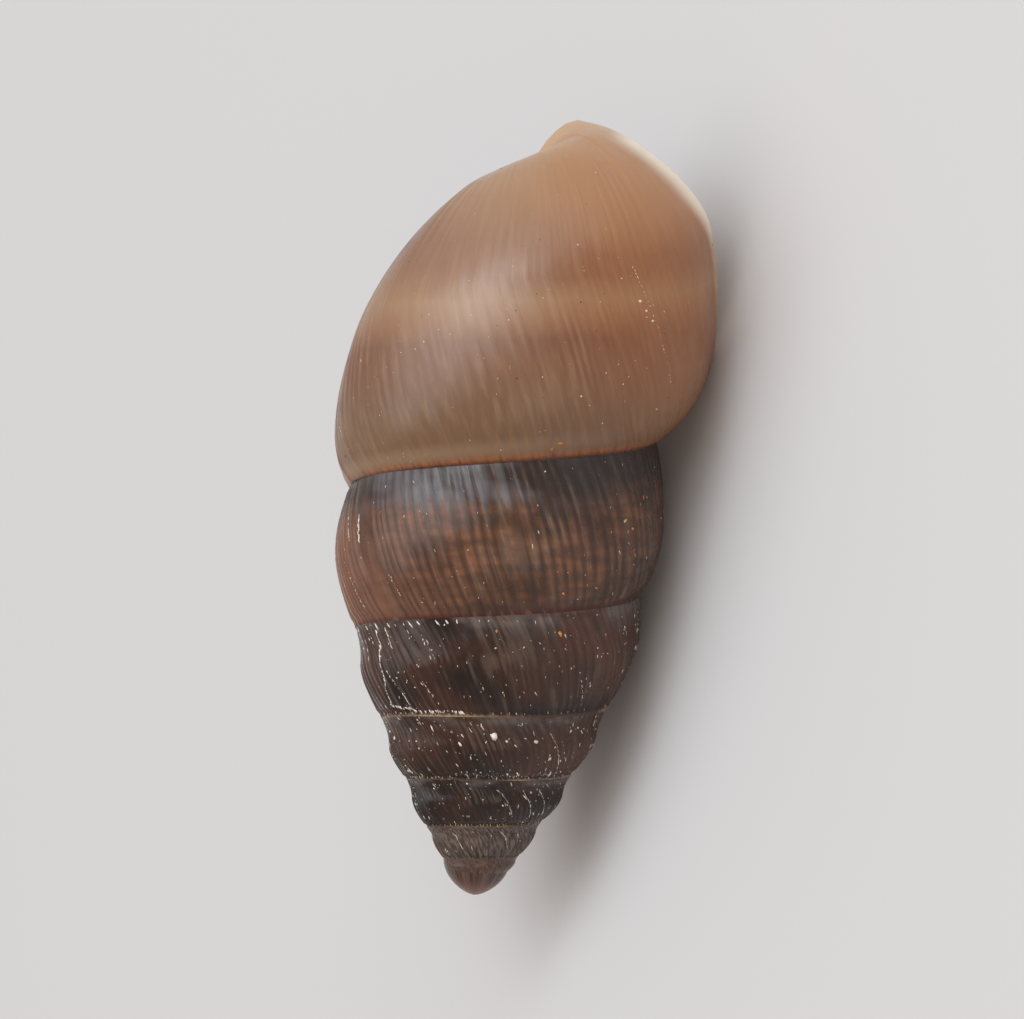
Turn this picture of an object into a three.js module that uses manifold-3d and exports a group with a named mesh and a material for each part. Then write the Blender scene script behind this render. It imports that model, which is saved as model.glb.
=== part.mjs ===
// A tall right-handed land snail shell of about seven whorls, lying on its side.
// Millimetres, +Z up, long axis along Y with the tip towards -Y.
import * as THREE from "three";
import Module from "manifold-3d";

// Growth of the shell, one row per whorl from the tip (whorl number = row number).
// Suture: the groove where a whorl joins the one before. Crown: its widest line.
// Radii are from the long axis and depths are along it from the tip.
const SUTURE_R = [0, 0, 0.52, 0.85, 1.24, 1.73, 2.26, 2.52, 2.54, 3.3];
const SUTURE_D = [0, 0, 0.47, 0.98, 1.72, 2.69, 4.14, 6.52, 9.11, 11.5];
const CROWN_R = [0, 0.51, 0.76, 1.14, 1.58, 2.14, 2.7, 2.82, 4.13, 5.6];
const CROWN_D = [0, 0.36, 0.84, 1.42, 2.26, 3.55, 5.48, 7.59, 12.71, 17];
const RISE_BULGE = [1.46, 3.09];
const BULGE_FROM = 5.5;
const BULGE_WHORLS = 2;
const FALL_BULGE = 1.81;

// The last whorl: its shoulder line, the fold round the base and the axis point.
const LAST_START = 6.5;
const SHOULDER_BLEND = 0.2;
const SHOULDER_D = [7.82, 1.22, 2.5];
const SHOULDER_R = [2.72, -1.02, 1.57];
const FOLD_R = [0.74, -1.27, 1.76];
const FOLD_D = [10.72, 1.63, 0.52];
const AXIS_D = 11.35;
const BASE_FULLNESS = [0.31, 0.22];
const WHORL_LEAN = [0.05, 0.03];
const LEAN_FROM = 4;
const LEAN_WHORLS = 3;

// Plane of the lip, in the shell's own directions (side, axis, front).
const LIP_NORMAL = new THREE.Vector3(0.59, 0.322, -0.74).normalize();
const LIP_DISTANCE = 5.08;
const LIP_CORNER = 7.6;
const LIP_REACH = 0.42;
const LIP_HALVINGS = 40;
const LIP_BLEND = 0.35;
const ON_PLANE = 1e-6;

// Lying at rest on three small flat spots: up, in the same directions, and the floor.
const UP = new THREE.Vector3(-0.8657, 0.1281, 0.4840).normalize();
const FLOOR_DISTANCE = 1.838;
const CENTRE = new THREE.Vector2(0.2184, 6.5109);

// Wall and hollow.
const WALL = 0.16;
const PILLAR_R = 0.3;
const HOLLOW_WHORLS = 1.1;
const HOLLOW_STEPS = 27;
const HOLLOW_CLIMB = 2.7;
const CLOSING_STEPS = 7;
const MOST_INSET = 0.8;

// Facets. Points nearer the axis than the tip radius join at the tip.
const TIP_RADIUS = 0.02;
const COLUMNS = 36;
const SLANT = 2;
const RISE_ROWS = 4;
const FALL_ROWS = 4;
const BASE_ROWS = 7;
const FOLD_ROWS = 5;
const SPIRE_ROWS = RISE_ROWS + FALL_ROWS;
const ALL_ROWS = SPIRE_ROWS + BASE_ROWS + FOLD_ROWS;

// Smooth curve through a row of values spaced one whorl apart.
function along(values, whorl) {
  const i = Math.min(Math.max(Math.floor(whorl), 0), values.length - 2);
  const t = Math.max(whorl - i, 0);
  const before = values[Math.max(i - 1, 0)];
  const after = values[Math.min(i + 2, values.length - 1)];
  const [a, b] = [values[i], values[i + 1]];
  const bend = 2 * before - 5 * a + 4 * b - after;
  return a + 0.5 * t * (b - before + t * (bend + t * (3 * a - before - 3 * b + after)));
}

const quadratic = ([a, b, c], x) => a + b * x + c * x * x;
const ease = (x) => THREE.MathUtils.smoothstep(x, 0, 1);

// Radius and depth of the outer surface. q runs 0-1 from the suture to the crown,
// 1-2 to the next suture, 2-3 over the base to the fold and 3-4 in to the axis.
function profile(whorl, q, axisDepth = AXIS_D) {
  const crown = [along(CROWN_R, whorl), along(CROWN_D, whorl)];
  if (q <= 1) {
    const start = [along(SUTURE_R, whorl), along(SUTURE_D, whorl)];
    const swelling = ease((whorl - BULGE_FROM) / BULGE_WHORLS);
    const rise = 1 - (1 - q) ** THREE.MathUtils.lerp(...RISE_BULGE, swelling);
    return [start[0] + (crown[0] - start[0]) * rise, start[1] + (crown[1] - start[1]) * q];
  }
  const x = Math.max(whorl - LAST_START, 0);
  const free = ease((whorl - LIP_CORNER + 1) / SHOULDER_BLEND);
  const next = [
    THREE.MathUtils.lerp(along(SUTURE_R, whorl + 1), quadratic(SHOULDER_R, x), free),
    THREE.MathUtils.lerp(along(SUTURE_D, whorl + 1), quadratic(SHOULDER_D, x), free),
  ];
  if (q <= 2) {
    const fall = (q - 1) ** FALL_BULGE;
    return [crown[0] + (next[0] - crown[0]) * fall, crown[1] + (next[1] - crown[1]) * (q - 1)];
  }
  const back = Math.min(whorl - LAST_START, 0) * HOLLOW_CLIMB;
  const fold = [quadratic(FOLD_R, x), quadratic(FOLD_D, x) + back];
  if (q <= 3) {
    const slope = new THREE.Vector2(FALL_BULGE * (next[0] - crown[0]), next[1] - crown[1]);
    const span = Math.hypot(next[0] - fold[0], next[1] - fold[1]);
    slope.normalize().multiplyScalar(span * BASE_FULLNESS[0]);
    const base = new THREE.CubicBezierCurve(
      new THREE.Vector2(...next),
      new THREE.Vector2(next[0] + slope.x, next[1] + slope.y),
      new THREE.Vector2(fold[0] + span * BASE_FULLNESS[1], fold[1]),
      new THREE.Vector2(...fold),
    );
    return base.getPoint(q - 2).toArray();
  }
  const turn = ((q - 3) * Math.PI) / 2;
  return [
    fold[0] * (1 - Math.sin(turn)),
    axisDepth + (fold[1] - axisDepth) * Math.cos(turn),
  ];
}

// A point in the shell's own directions: side, along the axis, front.
function place(whorl, [radius, depth]) {
  const angle = 2 * Math.PI * (whorl - 7) - Math.PI / 2;
  const side = radius * Math.sin(angle);
  const lean = THREE.MathUtils.lerp(...WHORL_LEAN, ease((whorl - LEAN_FROM) / LEAN_WHORLS));
  return new THREE.Vector3(side, depth - lean * side, radius * Math.cos(angle));
}

const overLip = (point) => LIP_DISTANCE - LIP_NORMAL.dot(point);

// Where each line q of the surface meets the plane of the lip.
function lipWhorl(q) {
  let low = LIP_CORNER - LIP_REACH;
  let high = LIP_CORNER;
  for (let i = 0; i < LIP_HALVINGS; i += 1) {
    const middle = (low + high) / 2;
    if (overLip(place(middle, profile(middle, q))) > 0) {
      low = middle;
    } else {
      high = middle;
    }
  }
  return low;
}

const rowParameter = (row) => {
  if (row <= RISE_ROWS) return row / RISE_ROWS;
  if (row <= SPIRE_ROWS) return 1 + (row - RISE_ROWS) / FALL_ROWS;
  if (row <= SPIRE_ROWS + BASE_ROWS) return 2 + (row - SPIRE_ROWS) / BASE_ROWS;
  return 3 + (row - SPIRE_ROWS - BASE_ROWS) / FOLD_ROWS;
};

const rows = [...Array(ALL_ROWS + 1).keys()];
const lipEdge = rows.map((row) => lipWhorl(rowParameter(row)));
const LAST_COLUMN = Math.round(LIP_CORNER * COLUMNS);
const INNER_COLUMN = LAST_COLUMN - COLUMNS + SLANT;

// Whorl number of a grid point: columns follow the growth lines and turn into the lip.
function whorlAt(column, row) {
  const start = LIP_CORNER + (column - LAST_COLUMN) / COLUMNS;
  const growth = start - (SLANT / COLUMNS) * Math.min(rowParameter(row) / 2, 1);
  const nearLip = ease((start - LIP_CORNER + LIP_BLEND) / LIP_BLEND);
  return THREE.MathUtils.lerp(growth, lipEdge[row] + start - LIP_CORNER, nearLip);
}

// Vertex list of the closed surface.
const vertices = [];
const faces = [];
const addVertex = (point) => vertices.push(point) - 1;
const addFace = (a, b, c) => {
  if (a !== b && b !== c && c !== a) faces.push(a, b, c);
};
const addStrip = (first, second) => {
  for (let k = 0; k + 1 < first.length; k += 1) {
    addFace(first[k], second[k + 1], second[k]);
    addFace(first[k], first[k + 1], second[k + 1]);
  }
};

// Outside: the end of one whorl's column is the start of a column one whorl later.
const tip = addVertex(place(0, [0, 0]));
const axisPoint = addVertex(place(LIP_CORNER, profile(LIP_CORNER, 4)));
const grid = [];
for (let column = 0; column <= LAST_COLUMN; column += 1) {
  const count = column < INNER_COLUMN ? SPIRE_ROWS : ALL_ROWS;
  const ids = [];
  for (let row = 0; row <= count; row += 1) {
    const before = column - COLUMNS + SLANT;
    const whorl = Math.max(whorlAt(column, row), 0);
    const section = profile(whorl, rowParameter(row));
    if (row === 0) {
      ids.push(before < 0 ? tip : grid[before][SPIRE_ROWS]);
    } else if (row === ALL_ROWS) {
      ids.push(axisPoint);
    } else if (column === 0 || section[0] < TIP_RADIUS) {
      ids.push(tip);
    } else {
      ids.push(addVertex(place(whorl, section)));
    }
  }
  grid.push(ids);
}
for (let column = 0; column < LAST_COLUMN; column += 1) {
  const count = column < INNER_COLUMN ? SPIRE_ROWS + 1 : ALL_ROWS + 1;
  addStrip(grid[column + 1].slice(0, count), grid[column].slice(0, count));
}

// Hollow: each loop is the inside of the whorl wall and the outside of the whorl within.
const lipLoop = grid[LAST_COLUMN];
const innerRows = rows.slice(SPIRE_ROWS + 1, ALL_ROWS).reverse();
const rimLoop = [...lipLoop, ...innerRows.map((row) => grid[INNER_COLUMN][row])];

function hollowLoop(step) {
  const back = (step / HOLLOW_STEPS) * HOLLOW_WHORLS;
  const axisDepth = AXIS_D - back * HOLLOW_CLIMB;
  const flat = (column, row) => {
    const whorl = whorlAt(column, row) - back;
    return { whorl, section: profile(whorl, rowParameter(row), axisDepth) };
  };
  const outer = rows.map((row) => flat(LAST_COLUMN, row));
  const inner = innerRows.map((row) => flat(INNER_COLUMN, row));
  const loop = [...outer, ...inner];
  const middle = [0, 1].map((k) => loop.reduce((sum, p) => sum + p.section[k], 0) / loop.length);
  const closing = 1 - ease((step - HOLLOW_STEPS - 1) / CLOSING_STEPS + 1);
  return loop.map(({ whorl, section }, k) => {
    const reach = Math.hypot(middle[0] - section[0], middle[1] - section[1]);
    const inset = k < outer.length ? WALL / reach : 0;
    const keep = (1 - Math.min(inset, MOST_INSET)) * closing;
    const [r, d] = section.map((value, axis) => middle[axis] + (value - middle[axis]) * keep);
    const point = place(whorl, [step > 0 ? Math.max(r, PILLAR_R) : r, d]);
    const atLip = step === 0 && k < outer.length && lipEdge[k] < LIP_CORNER - ON_PLANE;
    return atLip ? point.addScaledVector(LIP_NORMAL, overLip(point)) : point;
  });
}

let previous = rimLoop;
for (let step = 0; step <= HOLLOW_STEPS; step += 1) {
  const points = hollowLoop(step);
  const ids = points.map((point, k) => {
    if (step === 0 && k > ALL_ROWS) return rimLoop[k];
    return addVertex(point);
  });
  addStrip([...ids, ids[0]], [...previous, previous[0]]);
  previous = ids;
}
const closing = previous.map((id) => vertices[id]);
const sum = closing.reduce((total, point) => total.add(point), new THREE.Vector3());
const end = addVertex(sum.divideScalar(closing.length));
previous.forEach((id, k) => addFace(id, end, previous[(k + 1) % previous.length]));

// Lay the shell down with its axis over Y, then plane off the spots it rests on.
const lengthwise = new THREE.Vector3(0, 1, 0).addScaledVector(UP, -UP.y).normalize();
const across = lengthwise.clone().cross(UP);
const turned = vertices.map((point) => [
  point.dot(across) - CENTRE.x,
  point.dot(lengthwise) - CENTRE.y,
  point.dot(UP) + FLOOR_DISTANCE,
]);
const wasm = await Module();
wasm.setup();
const whole = new wasm.Manifold(
  new wasm.Mesh({
    numProp: 3,
    vertProperties: new Float32Array(turned.flat()),
    triVerts: new Uint32Array(faces),
  }),
);
const cut = whole.trimByPlane([0, 0, 1], 0).getMesh();

const geometry = new THREE.BufferGeometry();
geometry.setAttribute("position", new THREE.BufferAttribute(cut.vertProperties, 3));
geometry.setIndex(new THREE.BufferAttribute(cut.triVerts, 1));
geometry.computeVertexNormals();
const material = new THREE.MeshStandardMaterial({ color: 0x8a6242, roughness: 0.4, metalness: 0 });
const shell = new THREE.Mesh(geometry, material);
shell.name = "shell";

const group = new THREE.Group();
group.name = "land_snail_shell";
group.add(shell);

export default group;
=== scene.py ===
"""Dresses the land snail shell: ribbed surface, colours with some painted light, shade and
reflection, stuck grains with a few painted glints, floor, light, camera.

The surface is grown from the same few measurements as the solid, in millimetres along the
shell's own directions (side, axis, front), then laid down in the frame, in metres.
"""

import math
from types import SimpleNamespace

import bpy
import numpy as np
from mathutils import Matrix, Vector


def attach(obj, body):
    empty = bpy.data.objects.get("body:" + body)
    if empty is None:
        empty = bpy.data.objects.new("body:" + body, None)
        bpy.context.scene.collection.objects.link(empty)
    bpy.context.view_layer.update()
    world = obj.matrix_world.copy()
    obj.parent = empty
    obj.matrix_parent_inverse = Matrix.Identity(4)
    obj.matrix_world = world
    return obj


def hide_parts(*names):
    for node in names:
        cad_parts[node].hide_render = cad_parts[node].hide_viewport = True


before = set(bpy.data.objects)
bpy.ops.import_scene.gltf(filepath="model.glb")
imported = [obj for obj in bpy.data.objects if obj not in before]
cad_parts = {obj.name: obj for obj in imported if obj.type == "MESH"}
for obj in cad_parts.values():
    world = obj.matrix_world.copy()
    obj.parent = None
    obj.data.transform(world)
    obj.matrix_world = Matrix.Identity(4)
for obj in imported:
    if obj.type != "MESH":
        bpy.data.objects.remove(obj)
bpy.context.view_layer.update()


def unit(x, y, z):
    """Direction of length one."""
    return np.array([x, y, z]) / np.linalg.norm([x, y, z])


# Growth of the shell, one value per whorl from the tip, as in the solid.
SUTURE_R = [0, 0, 0.52, 0.85, 1.24, 1.73, 2.26, 2.52, 2.54, 3.3]
SUTURE_D = [0, 0, 0.47, 0.98, 1.72, 2.69, 4.14, 6.52, 9.11, 11.5]
CROWN_R = [0, 0.51, 0.76, 1.14, 1.58, 2.14, 2.7, 2.82, 4.13, 5.6]
CROWN_D = [0, 0.36, 0.84, 1.42, 2.26, 3.55, 5.48, 7.59, 12.71, 17]
RISE_BULGE = (1.46, 3.09)
BULGE_FROM = 5.5
BULGE_WHORLS = 2
FALL_BULGE = 1.81
WHORL_LEAN = (0.05, 0.03)
LEAN_FROM = 4
LEAN_WHORLS = 3

# The last whorl: its shoulder line, the fold round the base and the axis point.
LAST_START = 6.5
SHOULDER_BLEND = 0.2
SHOULDER_D = (7.82, 1.22, 2.5)
SHOULDER_R = (2.72, -1.02, 1.57)
FOLD_R = (0.74, -1.27, 1.76)
FOLD_D = (10.72, 1.63, 0.52)
AXIS_D = 11.35
BASE_FULLNESS = (0.31, 0.22)

# Plane of the lip, and how the growth lines turn into it.
LIP_NORMAL = unit(0.59, 0.322, -0.74)
LIP_DISTANCE = 5.08
LIP_CORNER = 7.6
LIP_REACH = 0.42
LIP_HALVINGS = 40
LIP_BLEND = 0.35
LIP_FULLNESS = 0.7
ON_PLANE = 1e-6
SLANT = 2 / 36

# Wall and hollow.
WALL = 0.16
MOST_INSET = 0.8
PILLAR_R = 0.3
HOLLOW_WHORLS = 1.1
HOLLOW_CLIMB = 2.7
CLOSING_FROM = 0.8
CLOSING_SPAN = 0.22

# How the shell lies in the frame: up and the floor, in the shell's own directions.
MM_PER_M = 1000
UP = unit(-0.8657, 0.1281, 0.4840)
LENGTHWISE = unit(*(np.array([0, 1, 0]) - UP * UP[1]))
AXES = np.stack([np.cross(LENGTHWISE, UP), LENGTHWISE, UP])
FLOOR_DISTANCE = 1.838
CENTRE = (0.2184, 6.5109)
SHIFT = np.array([-CENTRE[0], -CENTRE[1], FLOOR_DISTANCE])

# Grid of the dressed surface.
COLUMNS = 432
RISE_ROWS = 10
FALL_ROWS = 7
BASE_ROWS = 20
FOLD_ROWS = 10
SPIRE_ROWS = RISE_ROWS + FALL_ROWS
ALL_ROWS = SPIRE_ROWS + BASE_ROWS + FOLD_ROWS
SUTURE_CROWDING = 1.5
HOLLOW_STEPS = 56
LIP_STEPS = 5
TIP_HOLE = 0.012
SEED = 11


def along(values, whorl):
    """Smooth curve through values spaced one whorl apart."""
    values = np.asarray(values, float)
    last = len(values) - 1
    i = np.clip(np.floor(whorl).astype(int), 0, last - 1)
    t = np.maximum(whorl - i, 0)
    before, a = values[np.maximum(i - 1, 0)], values[i]
    b, after = values[i + 1], values[np.minimum(i + 2, last)]
    bend = 2 * before - 5 * a + 4 * b - after
    return a + 0.5 * t * (b - before + t * (bend + t * (3 * a - before - 3 * b + after)))


def ease(x):
    """Smooth step from 0 to 1."""
    x = np.clip(x, 0, 1)
    return x * x * (3 - 2 * x)


def bell(x, middle, width):
    """Smooth rise to 1 at the middle and fall on either side."""
    return np.exp(-(((x - middle) / width) ** 2))


def quadratic(terms, x):
    return terms[0] + terms[1] * x + terms[2] * x * x


def profile(whorl, q, axis_depth=AXIS_D):
    """Radius and depth: q 0-1 suture to crown, 1-2 to the next suture, 2-3 base, 3-4 fold."""
    whorl, q = np.broadcast_arrays(np.asarray(whorl, float), np.asarray(q, float))
    crown = np.stack([along(CROWN_R, whorl), along(CROWN_D, whorl)])
    start = np.stack([along(SUTURE_R, whorl), along(SUTURE_D, whorl)])
    swelling = ease((whorl - BULGE_FROM) / BULGE_WHORLS)
    bulge = RISE_BULGE[0] + (RISE_BULGE[1] - RISE_BULGE[0]) * swelling
    up = np.clip(q, 0, 1)
    rise = start + (crown - start) * np.stack([1 - (1 - up) ** bulge, up])

    x = np.maximum(whorl - LAST_START, 0)
    spire = np.stack([along(SUTURE_R, whorl + 1), along(SUTURE_D, whorl + 1)])
    shoulder = np.stack([quadratic(SHOULDER_R, x), quadratic(SHOULDER_D, x)])
    free = ease((whorl - LIP_CORNER + 1) / SHOULDER_BLEND)
    following = spire + (shoulder - spire) * free
    down = np.clip(q - 1, 0, 1)
    fall = crown + (following - crown) * np.stack([down**FALL_BULGE, down])

    back = np.minimum(whorl - LAST_START, 0) * HOLLOW_CLIMB
    fold = np.stack([quadratic(FOLD_R, x), quadratic(FOLD_D, x) + back])
    slope = np.stack([FALL_BULGE * (following[0] - crown[0]), following[1] - crown[1]])
    slope = slope / np.linalg.norm(slope, axis=0)
    span = np.linalg.norm(following - fold, axis=0)
    first = following + slope * span * BASE_FULLNESS[0]
    second = fold + np.stack([span * BASE_FULLNESS[1], 0 * span])
    t = np.clip(q - 2, 0, 1)
    base = (
        (1 - t) ** 3 * following
        + 3 * (1 - t) ** 2 * t * first
        + 3 * (1 - t) * t**2 * second
        + t**3 * fold
    )
    turn = np.clip(q - 3, 0, 1) * math.pi / 2
    tuck = np.stack(
        [fold[0] * (1 - np.sin(turn)), axis_depth + (fold[1] - axis_depth) * np.cos(turn)]
    )
    return np.select([q <= 1, q <= 2, q <= 3], [rise, fall, base], tuck)


def place(whorl, section):
    """Points (side, axis, front) of a radius and depth at a whorl number."""
    angle = 2 * math.pi * (whorl - 7) - math.pi / 2
    side = section[0] * np.sin(angle)
    older = ease((whorl - LEAN_FROM) / LEAN_WHORLS)
    lean = WHORL_LEAN[0] + (WHORL_LEAN[1] - WHORL_LEAN[0]) * older
    return np.stack([side, section[1] - lean * side, section[0] * np.cos(angle)], axis=-1)


def lip_edge(q):
    """Whorl number where each line q meets the plane of the lip."""
    low, high = np.full_like(q, LIP_CORNER - LIP_REACH), np.full_like(q, LIP_CORNER)
    for _ in range(LIP_HALVINGS):
        middle = (low + high) / 2
        inside = place(middle, profile(middle, q)) @ LIP_NORMAL < LIP_DISTANCE
        low, high = np.where(inside, middle, low), np.where(inside, high, middle)
    return low


# Cross position of each row, the column from which whorls step on the one before, the
# column where the aperture begins, and the growth of each column.
ROW_Q = np.concatenate(
    [
        (np.arange(RISE_ROWS) / RISE_ROWS) ** SUTURE_CROWDING,
        1 + np.arange(FALL_ROWS) / FALL_ROWS,
        2 + np.arange(BASE_ROWS) / BASE_ROWS,
        3 + np.arange(FOLD_ROWS + 1) / FOLD_ROWS,
    ]
)
LIP_EDGE = lip_edge(ROW_Q)
LAST = round(LIP_CORNER * COLUMNS)
STEP_ON = round((1 - SLANT) * COLUMNS)
INNER = LAST - STEP_ON
INNER_ROWS = np.arange(ALL_ROWS - 1, SPIRE_ROWS, -1)
LOOP_Q = np.concatenate([ROW_Q, ROW_Q[INNER_ROWS]])
GROWTH = LIP_CORNER + (np.arange(LAST + 1) - LAST) / COLUMNS


def whorl_at(start, row_q, edge):
    """Columns follow the slanted growth lines and turn into the lip near the end."""
    growth = start - SLANT * np.minimum(row_q / 2, 1)
    near_lip = ease((start - LIP_CORNER + LIP_BLEND) / LIP_BLEND)
    return growth + (edge + start - LIP_CORNER - growth) * near_lip


def wave(rng, count, width):
    """Seeded random line of that many samples, smoothed over width samples, about -1 to 1."""
    line = rng.normal(size=count)
    kernel = np.hanning(max(int(width), 1) + 2)
    line = np.convolve(line, kernel, mode="same")
    return line / (2 * line.std())


# Ribs: number in a whorl, height in millimetres, shape and unevenness.
RIBS = 78
RIB_HEIGHT = 0.023
RIB_SHARPNESS = 1.6
RIB_MIDDLE = 0.35
RIB_JITTER = 0.8
RIB_SWAY = 0.22
RIB_STRENGTH = 0.85
RIB_VARIETY = 0.6
RIB_PATCHES = 0.4
RIB_LIMITS = (0.1, 2)
RIB_FADING = 0.86
# Wrinkles of the last whorl: how much stronger than ribs, and (middle, width) across it.
WRINKLES = 8
WRINKLES_ABOVE = (0.22, 0.2)
WRINKLES_BELOW = (1.2, 0.5)
WRINKLES_SHARE = 0.6
# Other relief, in millimetres, and the suture's cord and groove across the whorl.
GROWTH_LINE = 0.0045
ROLLING = 0.012
SWELLING = 0.006
SUTURE_CORD = 0.028
CORD_PLACE = (0.07, 0.05)
CORD_FADING = 0.85
SUTURE_GROOVE = 0.022
GROOVE_PLACE = (0, 0.022)
# Growth where each kind of relief sets in, and over how many whorls it does.
RELIEF_FROM = (1.2, 1.2)
FADING_FROM = (6.35, 0.5)
BODY_FROM = (6.4, 0.4)
# Columns over which the random lines are smoothed.
JITTER_COLUMNS = 22
DRIFT_COLUMNS = 80
ROLLING_COLUMNS = 30
COARSE_COLUMNS = 6
FINE_COLUMNS = 1


def relief(start, q, rng):
    """Height of ribs, growth lines and the suture's cord at each grid point."""

    def line(width):
        return wave(rng, len(start), width)[:, None]

    def set_in(first, span):
        return ease((start - first) / span)

    jitter = line(JITTER_COLUMNS) * RIB_JITTER
    drift = line(DRIFT_COLUMNS)
    sway = RIB_SWAY * np.sin(2.2 * q + 3 * drift)
    turns = RIBS * start + jitter + sway
    ridge = (0.5 + 0.5 * np.cos(2 * math.pi * turns)) ** RIB_SHARPNESS
    patches = RIB_PATCHES * np.sin(4 * q + 7 * drift)
    strength = RIB_STRENGTH + RIB_VARIETY * line(COARSE_COLUMNS) + patches

    young, body = set_in(*RELIEF_FROM), set_in(*BODY_FROM)
    age = 1 - RIB_FADING * set_in(*FADING_FROM)
    wrinkled = bell(q, *WRINKLES_ABOVE) + WRINKLES_SHARE * bell(q, *WRINKLES_BELOW)
    ribs = RIB_HEIGHT * age * young * np.clip(strength, *RIB_LIMITS) * (ridge - RIB_MIDDLE)
    ribs = ribs * (1 + WRINKLES * body * wrinkled)
    lines = line(FINE_COLUMNS) + 1.5 * line(COARSE_COLUMNS)
    lines = GROWTH_LINE * (0.5 + 0.2 * body) * young * lines
    rest = ROLLING * body * line(ROLLING_COLUMNS) + SWELLING * drift * young
    cord = SUTURE_CORD * (1 - CORD_FADING * body) * bell(q, *CORD_PLACE) * young
    groove = -SUTURE_GROOVE * bell(q, *GROOVE_PLACE) * young
    return ribs + lines + rest + cord * (1 + 0.5 * (ridge - 0.4)) + groove, ridge


def surface_normals(points):
    across, onward = np.gradient(points, axis=1), np.gradient(points, axis=0)
    normal = np.cross(onward, across)
    return -normal / np.maximum(np.linalg.norm(normal, axis=-1, keepdims=True), 1e-12)


def lay_down(points):
    """From the shell's own millimetres to the frame's metres, flat where it touches down."""
    turned = points @ AXES.T + SHIFT
    turned[..., 2] = np.maximum(turned[..., 2], 0)
    return turned / MM_PER_M


def grid_faces(ids, keep):
    """Quads over a grid of vertex numbers where keep is true."""
    quads = np.stack([ids[1:, :-1], ids[1:, 1:], ids[:-1, 1:], ids[:-1, :-1]], axis=-1)
    return quads[keep]


def ring_faces(points, first):
    """Quads over rings of points that close on themselves, numbered from first."""
    ids = first + np.arange(points[..., 0].size).reshape(points.shape[:2])
    ids = np.concatenate([ids, ids[:, :1]], axis=1)
    return grid_faces(ids, np.ones((points.shape[0] - 1, points.shape[1]), bool))


# Where the relief smooths out: before the lip in whorls, and in cross position on the fold
# and where a whorl is covered by the next.
SMOOTH_LIP = 0.02
SMOOTH_FOLD = (3.2, 0.5)
SMOOTH_COVERED = 0.12
# Distance to the lip in millimetres: least radius it is worked out with, growth where it
# begins, its value farther back, and what each ring of the hollow adds.
LEAST_ROUND_R = 0.4
NEAR_LIP_FROM = 6.8
FAR_FROM_LIP = 9
LIP_PACE = 0.3


def outer_surface():
    """Points, quads and named values of the outside."""
    start = GROWTH[:, None]
    whorl = np.maximum(whorl_at(start, ROW_Q[None], LIP_EDGE[None]), 0)
    q = np.broadcast_to(ROW_Q, whorl.shape)
    points = place(whorl, profile(whorl, q))
    height, ridge = relief(start + 0 * q, q, np.random.default_rng(SEED))
    fade = ease((LIP_EDGE[None] - whorl) / SMOOTH_LIP)
    fade = fade * (1 - ease((q - SMOOTH_FOLD[0]) / SMOOTH_FOLD[1]))
    covered = (np.arange(LAST + 1) < INNER)[:, None]
    shown = np.where(covered, ease((2 - q) / SMOOTH_COVERED), 1)
    points = points + surface_normals(points) * (height * fade * shown)[..., None]
    points[STEP_ON:, 0] = points[: LAST + 1 - STEP_ON, SPIRE_ROWS]

    ids = np.arange(points[..., 0].size).reshape(points.shape[:2])
    keep = np.ones((LAST, ALL_ROWS), bool)
    keep[:INNER, SPIRE_ROWS:] = False
    radius = np.maximum(np.hypot(points[..., 0], points[..., 2]), LEAST_ROUND_R)
    to_lip = (LIP_EDGE[None] - whorl) * (2 * math.pi * radius)
    values = {
        "growth": start + 0 * q,
        "whorl": whorl,
        "cross": q,
        "rib": ridge,
        "lip": np.where(start > NEAR_LIP_FROM, to_lip, FAR_FROM_LIP),
        "inner": 0 * q,
    }
    return points, grid_faces(ids, keep), values


def hollow_loop(step):
    """One ring of the hollow: inside of the whorl's wall, then outside of the whorl within."""
    back = step / HOLLOW_STEPS * HOLLOW_WHORLS
    outer = whorl_at(LIP_CORNER, ROW_Q, LIP_EDGE) - back
    within = whorl_at(GROWTH[INNER], ROW_Q[INNER_ROWS], LIP_EDGE[INNER_ROWS]) - back
    turns = np.concatenate([outer, within])
    section = profile(turns, LOOP_Q, AXIS_D - back * HOLLOW_CLIMB)
    middle = section.mean(axis=1, keepdims=True)
    reach = np.linalg.norm(section - middle, axis=0)
    inset = np.where(np.arange(len(turns)) <= ALL_ROWS, WALL / reach, 0)
    closing = 1 - ease((step / HOLLOW_STEPS - CLOSING_FROM) / CLOSING_SPAN)
    section = middle + (section - middle) * (1 - np.minimum(inset, MOST_INSET)) * closing
    if step:
        section[0] = np.maximum(section[0], PILLAR_R)
    return place(turns, section)


def lip_rings(edge, loop):
    """Rings that carry the surface round the lip, from its outer edge to the first loop."""
    wall = loop[: ALL_ROWS + 1]
    short = (LIP_DISTANCE - wall @ LIP_NORMAL) * (LIP_EDGE < LIP_CORNER - ON_PLANE)
    wall = wall + short[:, None] * LIP_NORMAL
    half, middle = (edge - wall) / 2, (edge + wall) / 2
    bulge = LIP_NORMAL * np.linalg.norm(half, axis=1, keepdims=True) * LIP_FULLNESS
    rings = []
    for turn in np.linspace(0, math.pi, LIP_STEPS):
        ring = middle + half * math.cos(turn) + bulge * math.sin(turn)
        rings.append(np.concatenate([ring, loop[ALL_ROWS + 1 :]]))
    return rings


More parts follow.
